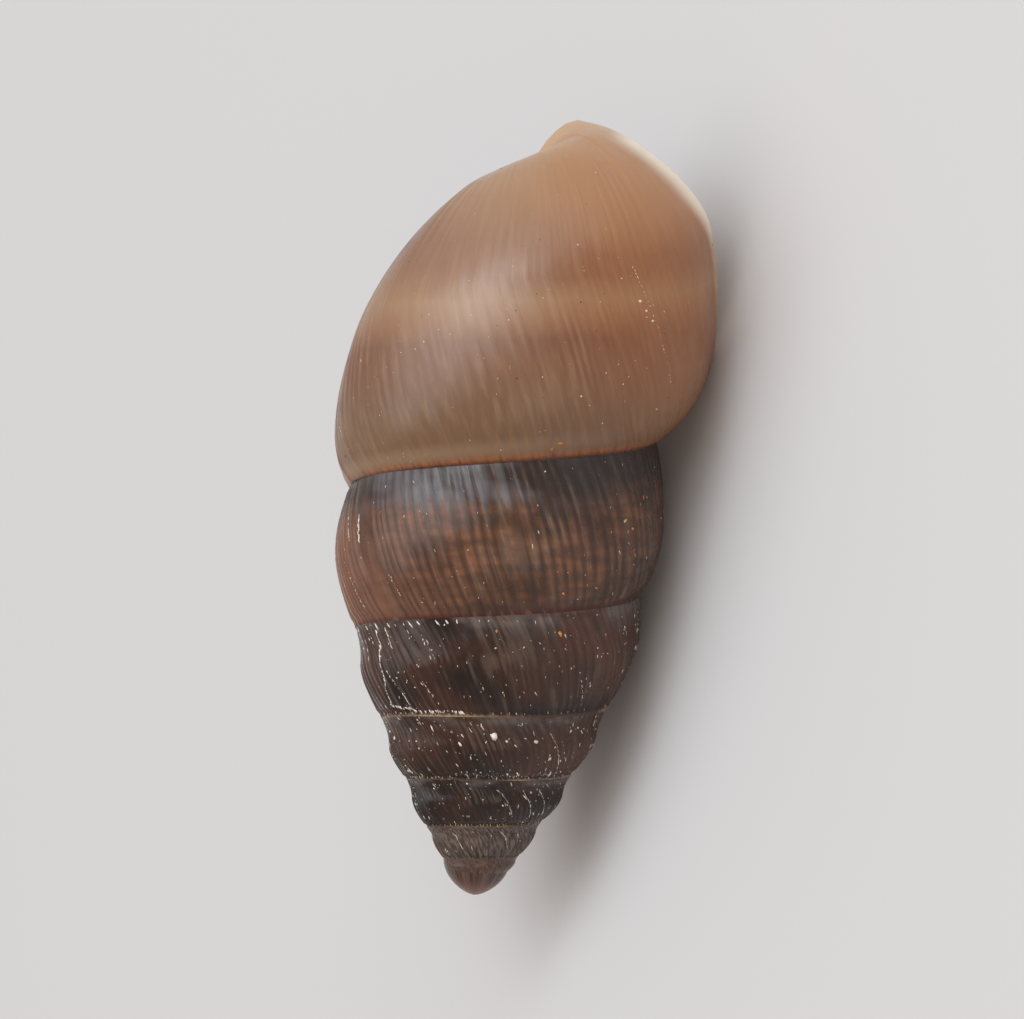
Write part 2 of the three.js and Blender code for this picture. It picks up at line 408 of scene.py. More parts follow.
def hollow_surface(edge, first):
    """Points, quads numbered from first and named values of the lip and the hollow."""
    loops = lip_rings(edge, hollow_loop(0))
    loops += [hollow_loop(step) for step in range(1, HOLLOW_STEPS + 1)]
    points = np.stack(loops)
    rank = np.arange(len(loops))[:, None] + np.zeros(len(LOOP_Q))
    values = {
        "growth": LIP_CORNER - rank / HOLLOW_STEPS,
        "whorl": LIP_CORNER - rank / HOLLOW_STEPS,
        "cross": LOOP_Q[None] + 0 * rank,
        "rib": 0.5 + 0 * rank,
        "lip": np.maximum(rank - LIP_STEPS, 0) * LIP_PACE,
        "inner": np.clip((rank - LIP_STEPS + 2) / 2, 0, 1),
    }
    return points, ring_faces(points, first), values


# Blunt rounded nucleus that the first whorl grows from, in millimetres.
NUCLEUS_SIZE = (0.56, 0.62, 0.56)
NUCLEUS_DEPTH = 0.583
NUCLEUS_RINGS = 14
NUCLEUS_SIDES = 40
NUCLEUS_POINT = 1.3
NUCLEUS_SPAN = (0.001, 0.55 * math.pi)
NUCLEUS_VALUES = {"cross": 0.7, "rib": 0.5, "lip": FAR_FROM_LIP, "inner": 0}


def round_nucleus(first):
    """Points, quads numbered from first and named values of the shell's blunt end."""
    polar = np.linspace(*NUCLEUS_SPAN, NUCLEUS_RINGS + 1)[:, None]
    share = np.arange(NUCLEUS_SIDES) / NUCLEUS_SIDES
    around = 2 * math.pi * share - math.pi / 2
    reach = np.sin(polar) ** NUCLEUS_POINT
    ring = [reach * np.cos(around), -np.cos(polar) + 0 * around, reach * np.sin(around)]
    points = np.stack(ring, axis=-1) * NUCLEUS_SIZE + np.array([0, NUCLEUS_DEPTH, 0])
    flat = 0 * polar + 0 * share
    values = {name: value + flat for name, value in NUCLEUS_VALUES.items()}
    values["growth"] = share + flat
    values["whorl"] = polar / polar.max() + flat
    return points, ring_faces(points, first), values


def grow_shell():
    """All points, quads and named values of the shell's surface, and its outer grid."""
    outer, outer_faces, outer_values = outer_surface()
    first = outer[..., 0].size
    hollow, hollow_faces, hollow_values = hollow_surface(outer[LAST], first)
    first += hollow[..., 0].size
    nucleus, nucleus_faces, nucleus_values = round_nucleus(first)

    points = np.concatenate([part.reshape(-1, 3) for part in (outer, hollow, nucleus)])
    faces = np.concatenate([outer_faces, hollow_faces, nucleus_faces])
    at_tip = np.linalg.norm(points, axis=1) < TIP_HOLE
    faces = faces[~at_tip[faces].all(axis=1)]
    used, faces = np.unique(faces, return_inverse=True)
    values = {}
    for name in outer_values:
        parts = (outer_values[name], hollow_values[name], nucleus_values[name])
        values[name] = np.concatenate([part.reshape(-1) for part in parts])[used]
    return points[used], faces.reshape(-1, 4), values, (outer, surface_normals(outer))


def mesh_object(name, points, faces, values=None):
    mesh = bpy.data.meshes.new(name)
    mesh.from_pydata([tuple(p) for p in points.tolist()], [], faces.tolist())
    for key, value in (values or {}).items():
        mesh.attributes.new(key, "FLOAT", "POINT").data.foreach_set("value", value)
    mesh.polygons.foreach_set("use_smooth", np.ones(len(mesh.polygons), bool))
    mesh.update()
    thing = bpy.data.objects.new(name, mesh)
    bpy.context.scene.collection.objects.link(thing)
    return thing


def colour(code):
    """Linear colour of a hexadecimal screen colour."""
    parts = [int(code[i : i + 2], 16) / 255 for i in (0, 2, 4)]
    return [c / 12.92 if c <= 0.04045 else ((c + 0.055) / 1.055) ** 2.4 for c in parts] + [1]


class Finish:
    """A node material, put together from small steps."""

    def __init__(self, name):
        self.material = bpy.data.materials.new(name)
        self.material.use_nodes = True
        self.tree = self.material.node_tree
        self.tree.nodes.clear()
        self.shader = self.tree.nodes.new("ShaderNodeBsdfPrincipled")
        output = self.tree.nodes.new("ShaderNodeOutputMaterial")
        self.tree.links.new(self.shader.outputs[0], output.inputs[0])

    def put(self, socket, value):
        if isinstance(value, bpy.types.NodeSocket):
            self.tree.links.new(value, socket)
        else:
            socket.default_value = value

    def value(self, name):
        node = self.tree.nodes.new("ShaderNodeAttribute")
        node.attribute_name = name
        return node.outputs["Fac"]

    def maths(self, operation, a, b=0.0):
        node = self.tree.nodes.new("ShaderNodeMath")
        node.operation = operation
        self.put(node.inputs[0], a)
        self.put(node.inputs[1], b)
        return node.outputs[0]

    def times(self, a, b):
        return self.maths("MULTIPLY", a, b)

    def plus(self, a, b):
        return self.maths("ADD", a, b)

    def minus(self, a, b):
        return self.maths("SUBTRACT", a, b)

    def step(self, x, low, high, out_low=0.0, out_high=1.0):
        """Smooth step of x from out_low at low to out_high at high."""
        node = self.tree.nodes.new("ShaderNodeMapRange")
        node.interpolation_type = "SMOOTHSTEP"
        for socket, value in zip(node.inputs, (x, low, high, out_low, out_high)):
            self.put(socket, value)
        return node.outputs[0]

    def band(self, x, middle, width):
        """One at the middle, down to zero a width away on either side."""
        return self.step(self.maths("ABSOLUTE", self.minus(x, middle)), 0.0, width, 1.0, 0.0)

    def ramp(self, x, stops):
        node = self.tree.nodes.new("ShaderNodeValToRGB")
        elements = node.color_ramp.elements
        while len(elements) < len(stops):
            elements.new(0.5)
        for element, (position, code) in zip(elements, stops):
            element.position = position
            element.color = colour(code)
        self.put(node.inputs[0], x)
        return node.outputs[0]

    def mix(self, share, a, b):
        node = self.tree.nodes.new("ShaderNodeMix")
        node.data_type = "RGBA"
        self.put(node.inputs["Factor"], share)
        self.put(node.inputs[6], a if isinstance(a, bpy.types.NodeSocket) else colour(a))
        self.put(node.inputs[7], b if isinstance(b, bpy.types.NodeSocket) else colour(b))
        return node.outputs[2]

    def vector(self, x, y):
        node = self.tree.nodes.new("ShaderNodeCombineXYZ")
        self.put(node.inputs[0], x)
        self.put(node.inputs[1], y)
        return node.outputs[0]

    def place(self):
        return self.tree.nodes.new("ShaderNodeTexCoord").outputs["Object"]

    def noise(self, vector, scale, detail, roughness=0.5):
        node = self.tree.nodes.new("ShaderNodeTexNoise")
        self.put(node.inputs["Vector"], vector)
        self.put(node.inputs["Scale"], scale)
        self.put(node.inputs["Detail"], detail)
        self.put(node.inputs["Roughness"], roughness)
        return node.outputs["Fac"]

    def bump(self, height, distance, strength, normal=None):
        node = self.tree.nodes.new("ShaderNodeBump")
        self.put(node.inputs["Height"], height)
        node.inputs["Distance"].default_value = distance
        node.inputs["Strength"].default_value = strength
        if normal is not None:
            self.put(node.inputs["Normal"], normal)
        return node.outputs[0]


# Colours of the last whorl from its suture to the base, as (part of the way, colour).
LAST_WHORL = [
    (0.0, "6a4d31"),
    (0.14, "66472c"),
    (0.25, "6a4122"),
    (0.33, "653612"),
    (0.39, "7e502c"),
    (0.45, "8a6541"),
    (0.51, "71401d"),
    (0.56, "72411d"),
    (0.64, "946a44"),
    (0.76, "a6815b"),
    (1.0, "b49471"),
]
BAND_DRIFT = (-0.12, 0.085)
BAND_WANDER = 0.05
# Spans of growth or whorl over which one look gives way to the next.
DRIFTING = (6.9, 7.6)
EARLY_BODY = (7.12, 6.9)
# Growth over which painted warm light comes in towards the lip.
WARM_LIGHT_GROWTH = (7.28, 7.52)
LAST_BEGINS = (6.5, 6.72)
BIG_BEGINS = (5.35, 6.05)
YOUNG_BEGINS = (2.9, 2.3)
APEX_BEGINS = (2.3, 1.5)
NUCLEUS_BEGINS = (0.6, 0.35)
# Single colours of the last whorl, the spire, the sutures, the tip, the lip, the inside.
BODY_CLOUD = "835f3f"
BODY_STREAK = "ac8966"
BODY_LINE = "66401f"
BODY_EARLY = "74452c"
# Painted warm light on the last whorl towards the lip.
BODY_WARM_LIGHT = "b06d34"
BODY_SCRATCH = "c2a891"
BODY_BUFF = "a58a6d"
# Painted milky highlight on the middle of the last whorl.
PAINTED_HIGHLIGHT = "ab9685"
SPIRE_DARK = "160b07"
SPIRE_BROWN = "3b2016"
SPIRE_UMBER = "523829"
SPIRE_RUST = "775039"
# Red of the largest spire whorl's left side, also used for painted light there and painted warm
# light on the middle whorls' right sides.
SPIRE_RED_AND_PAINTED_LIGHT = "855844"
# Painted pale reflection of the sky on the tops of the middle whorls.
SPIRE_REFLECTION_PALE = "8c8884"
# The next two colours are a painted grey reflection of the sky under the last suture, and its
# darker patches.
SPIRE_REFLECTION = "5c5c62"
SPIRE_REFLECTION_DARK = "2b2523"
SPIRE_NIGHT = "2c2422"
# Painted shade in the grooves between the ribs.
SPIRE_GROOVE_SHADE = "140b08"
SPIRE_STREAK = "665448"
BIG_STREAK = "8b7765"
YOUNG_DARK = "463c38"
YOUNG_PALE = "85796f"
SUTURE_RED = "3d130c"
SUTURE_PALE = "a08f6e"
SUTURE_EDGE = "a8602c"
APEX = "5c4b43"
NUCLEUS_RED = "70493c"
LIP_PALE = "e6ddcc"
LIP_TAN = "b99b73"
LIP_FOLD = "b89b7c"
INSIDE = "b98a66"
INSIDE_PALE = "c9a584"

# Gloss of the shell's skin and light within it. Its scale and both depths are in metres.
SPECULAR = 0.4
COAT = 0.65
COAT_ROUGHNESS = 0.33
SUBSURFACE = 0.08
SUBSURFACE_RADIUS = (1.0, 0.6, 0.4)
SUBSURFACE_SCALE = 0.0002
LINE_DEPTH = 0.000004
GRAIN_DEPTH = 0.000006


def shell_fields(f):
    """The growth's values and the noises over them that every colour is made from."""
    growth, q = f.value("growth"), f.value("cross")

    def grown(across, down, scale, detail, roughness=0.5):
        vector = f.vector(f.times(growth, across), f.times(q, down))
        return f.noise(vector, scale, detail, roughness)

    return SimpleNamespace(
        growth=growth,
        q=q,
        whorl=f.value("whorl"),
        rib=f.value("rib"),
        lip=f.value("lip"),
        inner=f.value("inner"),
        streak=grown(60.0, 0.9, 2.4, 4.0, 0.6),
        broad=grown(9.0, 1.0, 1.5, 2.0),
        fine=grown(420.0, 1.6, 1.0, 2.0),
        spiral=grown(22.0, 6.0, 1.0, 3.0),
        blotch=f.noise(f.place(), 900.0, 3.0, 0.55),
        cloud=f.noise(f.place(), 330.0, 2.0),
        small=f.noise(f.place(), 3200.0, 4.0, 0.6),
    )


def body_colour(f, v, wander):
    """Last whorl: two soft brown bands on tan, drifting towards the suture with growth, with a
    painted milky highlight in the middle and painted warm light towards the lip.
    """
    drift = f.step(v.growth, *DRIFTING, *BAND_DRIFT)
    level = f.plus(f.times(v.q, 0.25), f.plus(wander, drift))
    tan = f.ramp(level, LAST_WHORL)
    tan = f.mix(f.step(v.cloud, 0.4, 0.7, 0.0, 0.25), tan, BODY_CLOUD)
    tan = f.mix(f.step(v.streak, 0.4, 0.8, 0.0, 0.2), tan, BODY_STREAK)
    tan = f.mix(f.step(v.fine, 0.5, 0.8, 0.0, 0.16), tan, BODY_LINE)
    early = f.step(v.growth, *EARLY_BODY)
    tan = f.mix(f.times(early, 0.55), tan, BODY_EARLY)
    # Painted warm light towards the lip.
    tan = f.mix(f.step(v.growth, *WARM_LIGHT_GROWTH, 0.0, 0.3), tan, BODY_WARM_LIGHT)
    scratched = f.times(early, f.step(v.streak, 0.5, 0.7, 0.0, 0.5))
    tan = f.mix(scratched, tan, BODY_SCRATCH)
    # Painted milky highlight across the middle of the whorl.
    painted_highlight = f.times(f.band(v.growth, 7.25, 0.17), f.step(v.q, 0.6, 2.0, 0.0, 0.32))
    tan = f.mix(painted_highlight, tan, PAINTED_HIGHLIGHT)
    by_suture = f.times(f.band(v.q, 0.14, 0.16), f.step(v.growth, 7.42, 7.2, 0.0, 0.35))
    return f.mix(by_suture, tan, BODY_BUFF)


def spire_colour(f, v):
    """Spire: near black, ruddy on its largest whorl, redder on that whorl's left with painted
    light, painted warm light on the middle whorls' right sides, painted sky reflection grey
    under the last suture and pale on the whorl tops, painted shade between the ribs, worn.
    """
    big = f.step(v.whorl, *BIG_BEGINS)
    dark = f.mix(f.step(v.blotch, 0.36, 0.66), SPIRE_DARK, SPIRE_BROWN)
    rust = f.times(f.step(v.spiral, 0.35, 0.75), f.step(v.rib, 0.1, 0.7, 0.55, 1.0))
    ruddy = f.mix(rust, SPIRE_UMBER, SPIRE_RUST)
    ruddy = f.mix(f.step(v.blotch, 0.4, 0.62, 0.0, 0.5), ruddy, SPIRE_DARK)
    brown = f.mix(big, dark, ruddy)
    # Redder on the left of the largest whorl, and lighter there by painted light.
    red_and_painted_light = f.times(f.step(v.growth, 6.24, 6.02), f.step(v.whorl, 5.5, 5.8))
    brown = f.mix(f.times(red_and_painted_light, 0.7), brown, SPIRE_RED_AND_PAINTED_LIGHT)
    # Painted warm light on the right sides of the middle whorls.
    painted_warm_light = f.maths("MAXIMUM", f.band(v.growth, 5.43, 0.2), f.band(v.growth, 4.42, 0.2))
    painted_warm_light = f.times(painted_warm_light, f.step(v.q, 0.05, 0.4, 0.0, 0.2))
    brown = f.mix(painted_warm_light, brown, SPIRE_RED_AND_PAINTED_LIGHT)

    # Painted grey reflection of the sky under the last suture, darker in patches and fading out
    # to the right.
    grey = f.mix(f.step(v.broad, 0.4, 0.6), SPIRE_REFLECTION_DARK, SPIRE_REFLECTION)
    grey = f.mix(f.step(v.growth, 6.3, 6.42), grey, SPIRE_NIGHT)
    reflection_edge = f.plus(v.q, f.times(f.minus(v.streak, 0.5), 0.9))
    painted_reflection = f.times(f.step(reflection_edge, 1.25, 1.75), f.step(v.whorl, 5.2, 6.0, 0.15, 0.9))
    brown = f.mix(painted_reflection, brown, grey)
    # Painted pale reflection of the sky along the tops of the middle whorls.
    dust_and_reflection = f.times(f.step(v.q, 1.62, 1.85), f.step(v.whorl, 5.7, 5.3))
    dust_and_reflection = f.times(dust_and_reflection, f.step(v.broad, 0.42, 0.6, 0.0, 0.22))
    brown = f.mix(dust_and_reflection, brown, SPIRE_REFLECTION_PALE)

    # Painted shade in the grooves between the ribs.
    painted_groove_shade = f.times(f.step(v.rib, 0.0, 0.45, 0.4, 0.0), f.step(v.streak, 0.35, 0.6, 0.3, 1.0))
    brown = f.mix(painted_groove_shade, brown, SPIRE_GROOVE_SHADE)
    worn = f.times(f.step(v.rib, 0.35, 1.0), f.step(v.streak, 0.42, 0.75, 0.0, 0.5))
    worn = f.times(worn, f.step(v.cloud, 0.4, 0.62, 0.35, 1.0))
    brown = f.mix(worn, brown, f.mix(big, SPIRE_STREAK, BIG_STREAK))

    young = f.mix(f.step(v.streak, 0.42, 0.65), YOUNG_DARK, YOUNG_PALE)
    brown = f.mix(f.step(v.whorl, *YOUNG_BEGINS, 0.0, 0.6), brown, young)
    apex = f.mix(f.step(v.streak, 0.35, 0.65), SPIRE_BROWN, APEX)
    brown = f.mix(f.step(v.whorl, *APEX_BEGINS, 0.0, 0.9), brown, apex)
    return f.mix(f.step(v.whorl, *NUCLEUS_BEGINS, 0.0, 0.65), brown, NUCLEUS_RED)


def suture_colour(f, v, base):
    """A dark red groove on the large whorls and a pale thread on the small ones."""
    groove = f.step(v.q, 0.0, f.step(v.growth, 5.8, 6.0, 0.05, 0.09), 1.0, 0.0)
    pale_part = f.times(f.step(v.growth, 5.85, 5.6), f.step(v.growth, 1.6, 1.9))
    pale_part = f.times(pale_part, f.step(v.blotch, 0.42, 0.6, 0.1, 0.8))
    thread = f.mix(pale_part, SUTURE_RED, SUTURE_PALE)
    base = f.mix(f.times(groove, 0.85), base, thread)
    edge = f.times(f.band(v.q, 0.05, 0.05), f.step(v.growth, 6.5, 6.8, 0.0, 0.7))
    return f.mix(f.times(edge, f.step(v.streak, 0.35, 0.6)), base, SUTURE_EDGE)


def lip_colour(f, v, base, wander):
    """Lip pale and wide at the base, narrow and tan towards the suture; the inside."""
    width = f.step(v.q, 1.9, 2.3, 0.28, 0.62)
    rim = f.step(f.plus(v.lip, f.times(wander, 2.0)), 0.02, width, 0.9, 0.0)
    rim_colour = f.mix(f.step(v.q, 1.7, 2.2), LIP_TAN, LIP_PALE)
    rim_colour = f.mix(f.step(v.q, 2.7, 2.95), rim_colour, LIP_FOLD)
    base = f.mix(rim, base, rim_colour)
    inside = f.mix(f.step(v.blotch, 0.4, 0.6), INSIDE, INSIDE_PALE)
    inside = f.mix(f.step(v.q, 2.6, 2.85), inside, LIP_FOLD)
    return f.mix(v.inner, base, inside)


def shell_finish():
    f = Finish("shell_finish")
    v = shell_fields(f)
    wander = f.times(f.minus(v.blotch, 0.5), BAND_WANDER)
    on_last = f.step(v.growth, *LAST_BEGINS)
    base = f.mix(on_last, spire_colour(f, v), body_colour(f, v, wander))
    base = lip_colour(f, v, suture_colour(f, v, base), wander)
    dull = f.step(v.small, 0.4, 0.72, 0.36, 0.5)
    glossy = f.step(v.small, 0.42, 0.75, 0.16, 0.34)
    roughness = f.plus(glossy, f.times(on_last, f.minus(dull, glossy)))
    lines = f.bump(v.fine, LINE_DEPTH, 0.8)
    f.put(f.shader.inputs["Base Color"], base)
    f.put(f.shader.inputs["Roughness"], roughness)
    f.put(f.shader.inputs["Normal"], f.bump(v.small, GRAIN_DEPTH, 0.5, lines))
    f.put(f.shader.inputs["Coat Weight"], f.times(on_last, COAT))
    f.shader.inputs["Coat Roughness"].default_value = COAT_ROUGHNESS
    f.shader.inputs["Specular IOR Level"].default_value = SPECULAR
    f.shader.inputs["Subsurface Weight"].default_value = SUBSURFACE
    f.shader.inputs["Subsurface Radius"].default_value = SUBSURFACE_RADIUS
    f.shader.inputs["Subsurface Scale"].default_value = SUBSURFACE_SCALE
    return f.material


shell_points, shell_faces, shell_values, outer_grid = grow_shell()
shell = mesh_object("shell_surface", lay_down(shell_points), shell_faces, shell_values)
shell.data.materials.append(shell_finish())
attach(shell, "root")
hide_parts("shell")


# Crumbs stuck to the shell, with a few rows of white beads that are painted glints: kind of
# crumb as a place on one ramp of colours.
CRUMB_COLOURS = [
    (0.0, "f2efe8"),
    (0.3, "cfc9bd"),
    (0.45, "d9c8a0"),
    (0.6, "c98a3c"),
    (0.75, "a8521c"),
    (0.9, "3a2016"),
]
CRUMB_DUST = "8d7f6e"
# Scatter of each part of the shell: first and last growth, first and last cross position,
# number of crumbs, smallest and largest size in millimetres, kinds.
SCATTER = [
    (2.0, 2.6, 0.1, 1.9, 30, 0.008, 0.02, (0.0, 0.4)),
    (3.0, 3.55, 0.1, 1.9, 70, 0.008, 0.022, (0.0, 0.4)),
    (4.0, 4.55, 0.1, 1.95, 150, 0.008, 0.03, (0.0, 0.35)),
    (5.0, 5.55, 0.1, 1.95, 130, 0.008, 0.024, (0.0, 0.35)),
    (6.0, 6.5, 0.1, 1.95, 60, 0.007, 0.018, (0.0, 0.5)),
    (6.9, 7.05, 0.1, 2.2, 60, 0.007, 0.018, (0.0, 0.3)),
    (7.05, 7.5, 0.1, 2.9, 100, 0.007, 0.018, (0.0, 0.5)),
    (7.05, 7.5, 0.3, 2.9, 26, 0.012, 0.026, (0.85, 0.9)),
    (6.0, 7.99, 0.1, 1.9, 120, 0.006, 0.02, (0.0, 0.9)),
    (3.0, 5.99, 0.1, 1.9, 300, 0.007, 0.02, (0.0, 0.4)),
]
# Single larger crumbs: growth, cross position, size, kind.
CRUMBS = [
    (7.3, 0.1, 0.05, 0.72),
    (7.31, 0.16, 0.04, 0.68),
    (6.42, 1.2, 0.055, 0.55),
    (6.43, 1.1, 0.03, 0.6),
    (5.37, 1.5, 0.05, 0.62),
    (5.3, 1.62, 0.035, 0.66),
    (6.33, 0.25, 0.03, 0.6),
    (6.37, 0.3, 0.025, 0.6),
    (4.3, 1.3, 0.06, 0.1),
    (4.36, 1.1, 0.05, 0.3),
    (4.24, 1.0, 0.04, 0.05),
    (4.38, 0.6, 0.045, 0.2),
    (5.12, 0.8, 0.035, 0.3),
    (7.45, 1.5, 0.035, 0.05),
    (7.455, 1.38, 0.03, 0.2),
    (7.46, 1.25, 0.03, 0.1),
    (2.03, 1.0, 0.06, 0.3),
]
# Pale trails, a few of them painted glints on the ribs: way points of growth and cross
# position, crumbs per millimetre, size, kind.
TRAILS = [
    ([(5.14, 1.8), (5.12, 0.8), (5.1, 0.2), (5.15, 0.08), (5.22, 0.07)], 50, 0.015, 0.0),
    ([(5.13, 0.8), (5.14, 0.15)], 40, 0.012, 0.05),
    ([(5.18, 0.65), (5.19, 0.2)], 34, 0.009, 0.15),
    ([(5.16, 1.9), (5.155, 1.3)], 40, 0.012, 0.0),
    ([(7.455, 1.9), (7.465, 1.2), (7.47, 0.6)], 30, 0.008, 0.1),
    ([(6.98, 1.9), (7.0, 1.0), (7.02, 0.3)], 20, 0.007, 0.1),
    ([(7.02, 2.1), (7.05, 1.2), (7.08, 0.3)], 14, 0.007, 0.1),
    ([(7.12, 2.3), (7.1, 1.9)], 16, 0.007, 0.1),
    # The next two trails are painted glints on the ribs of the largest spire whorl.
    ([(6.1, 1.38), (6.1, 1.0)], 30, 0.014, 0.0),
    ([(6.125, 1.4), (6.12, 0.95)], 30, 0.016, 0.0),
    ([(6.08, 0.75), (6.085, 0.15)], 34, 0.009, 0.1),
    ([(6.15, 0.6), (6.155, 0.3)], 30, 0.009, 0.1),
    ([(5.0, 0.06), (5.25, 0.05), (5.5, 0.06)], 10, 0.011, 0.4),
    ([(4.0, 0.06), (4.25, 0.05), (4.5, 0.06)], 14, 0.012, 0.35),
    ([(4.2, 0.16), (4.33, 0.1), (4.42, 0.2)], 24, 0.01, 0.3),
    ([(3.0, 0.06), (3.25, 0.05), (3.5, 0.06)], 12, 0.01, 0.4),
    # Painted glints on the rib tops along the top of a middle whorl.
    ([(5.06, 1.9), (5.2, 1.88), (5.3, 1.9)], 9, 0.022, 0.0),
    ([(5.385, 0.6), (5.39, 0.1)], 30, 0.009, 0.2),
    ([(4.39, 1.4), (4.4, 0.3)], 30, 0.009, 0.2),
    ([(3.33, 1.4), (3.34, 0.4)], 28, 0.008, 0.2),
    ([(3.38, 1.5), (3.39, 0.3)], 34, 0.009, 0.2),
    ([(3.42, 1.5), (3.43, 0.4)], 30, 0.009, 0.2),
    ([(2.2, 1.5), (2.21, 0.5)], 28, 0.008, 0.25),
    ([(2.36, 1.5), (2.37, 0.5)], 28, 0.008, 0.25),
]
# Trails: spread in growth and cross position, share left out, spans of size and kind.
TRAIL_SPREAD = (0.0005, 0.007)
TRAIL_GAPS = 0.25
TRAIL_SIZES = (0.4, 1.5)
TRAIL_KINDS = 0.15
TRAIL_STRETCH = 1.8
# Single crumbs: share of compact ones, stretch of the others, shape as shares of the size,
# turn off the growth line in radians and how far the middle lies off the surface.
COMPACT = 0.5
FLAKE_STRETCH = 2.2
UNEVEN = (0.7, 1.3)
LENGTHS = (1.0, 1.5)
WIDTHS = (0.6, 1.0)
THICKNESS = 0.7
TURN = 0.5
COMPACT_TURNS = 3
LIFT = 0.2
# Rough millimetres of one cross position and of one whorl; floor clearance in metres.
MM_PER_CROSS = 1.1
MM_PER_WHORL = 9
CLEAR_OF_FLOOR = 0.00006
# A crumb starts as an icosahedron of unit radius.
GOLDEN = (1 + 5**0.5) / 2
CRUMB_POINTS = np.array(
    [(a, b * GOLDEN, 0) for a in (-1, 1) for b in (-1, 1)]
    + [(0, a, b * GOLDEN) for a in (-1, 1) for b in (-1, 1)]
    + [(b * GOLDEN, 0, a) for a in (-1, 1) for b in (-1, 1)]
) / math.hypot(1, GOLDEN)
CORNERS = len(CRUMB_POINTS)


def crumb_faces():
    """Outward triangles between crumb points that lie one edge apart."""
    edge = 2 / math.hypot(1, GOLDEN)
    near = np.linalg.norm(CRUMB_POINTS[:, None] - CRUMB_POINTS[None], axis=-1) < edge * 1.05
    faces = []
    for a in range(CORNERS):
        for b in range(a + 1, CORNERS):
            for c in range(b + 1, CORNERS):
                if near[a, b] and near[b, c] and near[a, c]:
                    p, q, r = CRUMB_POINTS[[a, b, c]]
                    outward = np.dot(np.cross(q - p, r - p), p) > 0
                    faces.append((a, b, c) if outward else (a, c, b))
    return np.array(faces)


def scattered_spots(rng):
    spots = []
    for low, high, near, far, count, small, large, kinds in SCATTER:
        for _ in range(count):
            size = small + (large - small) * rng.random() ** 3
            kind = rng.uniform(*kinds)
            compact = rng.random() < COMPACT or low > LAST_START
            stretch = 1.0 if compact else FLAKE_STRETCH
            spots.append((rng.uniform(low, high), rng.uniform(near, far), size, kind, stretch))
    return spots


def trail_spots(rng):
    spots = []
    for way, density, size, kind in TRAILS:
        for (g0, q0), (g1, q1) in zip(way[:-1], way[1:]):
            length = abs(q1 - q0) * MM_PER_CROSS + abs(g1 - g0) * MM_PER_WHORL
            steps = np.arange(max(int(length * density), 1)) + rng.random()
            for t in steps / (length * density):
                spread = rng.normal(size=2) * TRAIL_SPREAD
                if rng.random() < TRAIL_GAPS:
                    continue
                grown = size * rng.uniform(*TRAIL_SIZES)
                at = (g0 + (g1 - g0) * t + spread[0], q0 + (q1 - q0) * t + spread[1])
                shade = kind + rng.uniform(0, TRAIL_KINDS)
                spots.append((*at, grown, shade, TRAIL_STRETCH))
    return spots


def on_shell(points, normals, growth, q):
    """Point, normal and direction down the growth line at a place on the outer grid."""
    column = np.clip((growth - GROWTH[0]) * COLUMNS, 1, LAST - 1.01)
    across = np.interp(q, ROW_Q, np.arange(ALL_ROWS + 1))
    i, row = int(column), min(int(across), ALL_ROWS - 1)
    share = np.outer([1 - column + i, column - i], [1 - across + row, across - row])[..., None]
    centre = (points[i : i + 2, row : row + 2] * share).sum(axis=(0, 1))
    normal = (normals[i : i + 2, row : row + 2] * share).sum(axis=(0, 1))
    down = points[i, min(row + 1, ALL_ROWS)] - points[i, max(row - 1, 0)]
    return centre, normal, down / max(np.linalg.norm(down), 1e-9)


def shape_crumb(rng, normal, down, size, stretch):
    """Points of one rough crumb about its middle, turned a little off the growth line."""
    side = np.cross(normal, down)
    turn = rng.uniform(-TURN, TURN) * (1 if stretch > 1 else COMPACT_TURNS)
    long_way = down * math.cos(turn) + side * math.sin(turn)
    wide_way = side * math.cos(turn) - down * math.sin(turn)
    rough = CRUMB_POINTS * rng.uniform(*UNEVEN, (CORNERS, 1)) * size
    long, wide = stretch * rng.uniform(*LENGTHS), rng.uniform(*WIDTHS) / stretch**0.5
    return (
        rough[:, :1] * long * long_way
        + rough[:, 1:2] * wide * wide_way
        + rough[:, 2:] * THICKNESS * normal
    )


def stick_crumbs(points, normals):
    """Points, triangles and values of small rough grains and painted glints, half sunk in the
    outer surface.
    """
    rng = np.random.default_rng(SEED + 1)
    spots = scattered_spots(rng) + [(*crumb, 1.0) for crumb in CRUMBS]
    spots += trail_spots(rng)
    faces = crumb_faces()
    blocks, kinds, rings = [], [], []
    for growth, q, size, kind, stretch in spots:
        centre, normal, down = on_shell(points, normals, growth, q)
        if lay_down(centre)[2] < CLEAR_OF_FLOOR:
            continue
        rings.append(faces + CORNERS * len(blocks))
        shape = shape_crumb(rng, normal, down, size, stretch)
        blocks.append(centre + normal * size * LIFT + shape)
        kinds += [kind] * CORNERS
    return np.concatenate(blocks), np.concatenate(rings), {"kind": np.array(kinds)}


def crumb_and_glint_finish():
    f = Finish("crumb_and_glint_finish")
    tone = f.ramp(f.value("kind"), CRUMB_COLOURS)
    worn = f.noise(f.place(), 20000.0, 3.0, 0.6)
    dust_and_reflection = f.mix(f.step(worn, 0.4, 0.7, 0.0, 0.5), tone, CRUMB_DUST)
    f.put(f.shader.inputs["Base Color"], dust_and_reflection)
    f.put(f.shader.inputs["Roughness"], f.step(worn, 0.3, 0.7, 0.35, 0.6))
    f.put(f.shader.inputs["Normal"], f.bump(worn, LINE_DEPTH, 0.6))
    return f.material


crumb_points, crumb_triangles, crumb_values = stick_crumbs(*outer_grid)
crumbs_and_glints = mesh_object("crumbs_and_glints", lay_down(crumb_points), crumb_triangles, crumb_values)
crumbs_and_glints.data.materials.append(crumb_and_glint_finish())
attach(crumbs_and_glints, "root")


